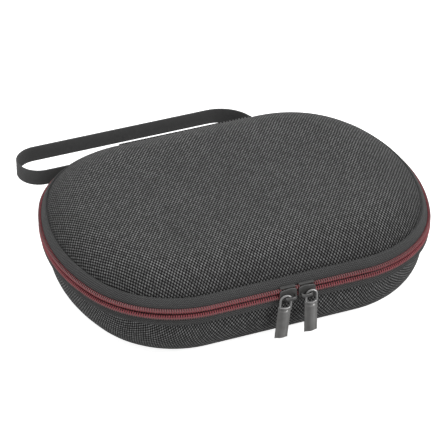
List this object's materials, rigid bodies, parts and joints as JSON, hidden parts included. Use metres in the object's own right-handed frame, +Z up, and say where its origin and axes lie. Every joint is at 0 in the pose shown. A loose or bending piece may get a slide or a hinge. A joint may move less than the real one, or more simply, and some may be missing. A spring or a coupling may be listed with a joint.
{
  "type": "headphone carrying case",
  "caption": "Hard clamshell headphone case of moulded foam in woven fabric, with a two-slider coil zip, fabric hinge, net pocket and wrist loop.",
  "frame": {"origin": "centre of the underside of the closed case", "axes": "+X to the right along the length, +Y to the back (hinge side), +Z up"},
  "size_m": [0.21, 0.1994, 0.053],
  "materials": {
    "ballistic_nylon": "coarse basket weave, dark charcoal, slight sheen",
    "moulded_foam": "matt black EVA foam",
    "lining": "brushed knit lining, matt",
    "zip_tape": "fine twill, dark grey",
    "zip_coil": "red polyester coil, soft gloss",
    "sewing_thread": "bonded nylon thread",
    "gunmetal": "gunmetal plated zinc, worn bright on the edges",
    "webbing": "flat nylon webbing, fine ribs along its length",
    "net": "open black mesh",
    "elastic": "ribbed elastic braid"
  },
  "bodies": {
    "base": {"base_cover": "ballistic_nylon", "base_foam": "moulded_foam", "base_lining": "lining", "base_binding": "zip_tape", "base_seam_thread": "sewing_thread", "base_zip_tape": "zip_tape", "base_zip_coil": "zip_coil", "base_hinge_panel": "ballistic_nylon", "base_hinge_lining": "lining", "zip_stop_left": "gunmetal", "zip_stop_right": "gunmetal", "strap_anchor": "webbing"},
    "lid": {"lid_cover": "ballistic_nylon", "lid_foam": "moulded_foam", "lid_lining": "lining", "lid_binding": "zip_tape", "lid_seam_thread": "sewing_thread", "lid_zip_tape": "zip_tape", "lid_zip_coil": "zip_coil", "lid_hinge_panel": "ballistic_nylon", "lid_hinge_lining": "lining", "pocket_net": "net", "pocket_elastic_edge": "elastic"},
    "left_slider": {"slider_left": "gunmetal"},
    "right_slider": {"slider_right": "gunmetal"},
    "left_pull": {"pull_left": "gunmetal"},
    "right_pull": {"pull_right": "gunmetal"},
    "wrist_loop": {"wrist_strap": "webbing"}
  },
  "joints": [
    {"name": "lid_hinge", "type": "hinge", "parent": "base", "child": "lid", "pos_m": [0, 0.079, 0.035], "axis": [-1, 0, 0], "range_deg": [0, 140]},
    {"name": "left_slider_travel", "type": "slide", "parent": "base", "child": "left_slider", "axis": [-1, 0, 0], "range_m": [0, 0.035]},
    {"name": "right_slider_travel", "type": "slide", "parent": "base", "child": "right_slider", "axis": [1, 0, 0], "range_m": [0, 0.028]},
    {"name": "left_pull_swing", "type": "hinge", "parent": "left_slider", "child": "left_pull", "pos_m": [-0.0035, -0.0813, 0.0337], "axis": [0, 1, 0], "range_deg": [-12, 84]},
    {"name": "right_pull_swing", "type": "hinge", "parent": "right_slider", "child": "right_pull", "pos_m": [0.0107, -0.0813, 0.0337], "axis": [0, -1, 0], "range_deg": [-6, 90]},
    {"name": "wrist_loop_swing", "type": "hinge", "parent": "base", "child": "wrist_loop", "pos_m": [0.05, 0.08, 0.02225], "axis": [0, 0, -1], "range_deg": [0, 75]}
  ]
}
